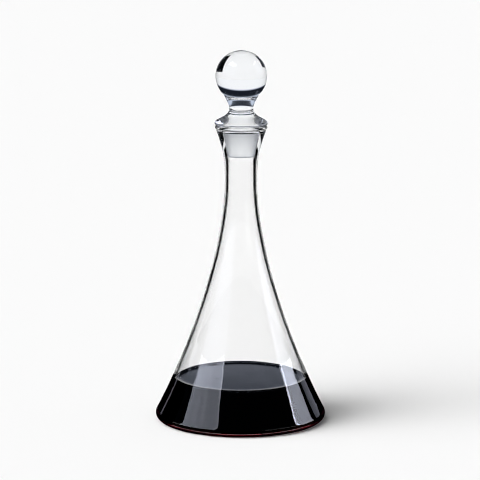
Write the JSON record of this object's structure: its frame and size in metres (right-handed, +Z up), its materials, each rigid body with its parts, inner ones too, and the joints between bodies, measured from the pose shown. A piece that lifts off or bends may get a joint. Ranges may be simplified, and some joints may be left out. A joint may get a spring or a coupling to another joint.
{
  "type": "wine decanter",
  "caption": "Conical clear glass wine decanter with a narrow flared neck, a lift-off ball stopper ground into its mouth, and red wine in its base.",
  "frame": {"origin": "on the surface the decanter stands on, under the vessel's axis", "axes": "+Z up along the vessel's axis, from the base to the ball stopper; the object is round, so +X and +Y are any two directions across it"},
  "size_m": [0.171, 0.171, 0.3731],
  "materials": {
    "vessel_glass": "polished",
    "stopper_glass": "polished",
    "red_wine": "polished"
  },
  "bodies": {
    "vessel": {"decanter_vessel": "vessel_glass", "wine": "red_wine"},
    "stopper": {"ball_stopper": "stopper_glass"}
  },
  "joints": [
    {"name": "stopper_lift", "type": "slide", "parent": "vessel", "child": "stopper", "axis": [0, 0, 1], "range_m": [0, 0.06]}
  ]
}
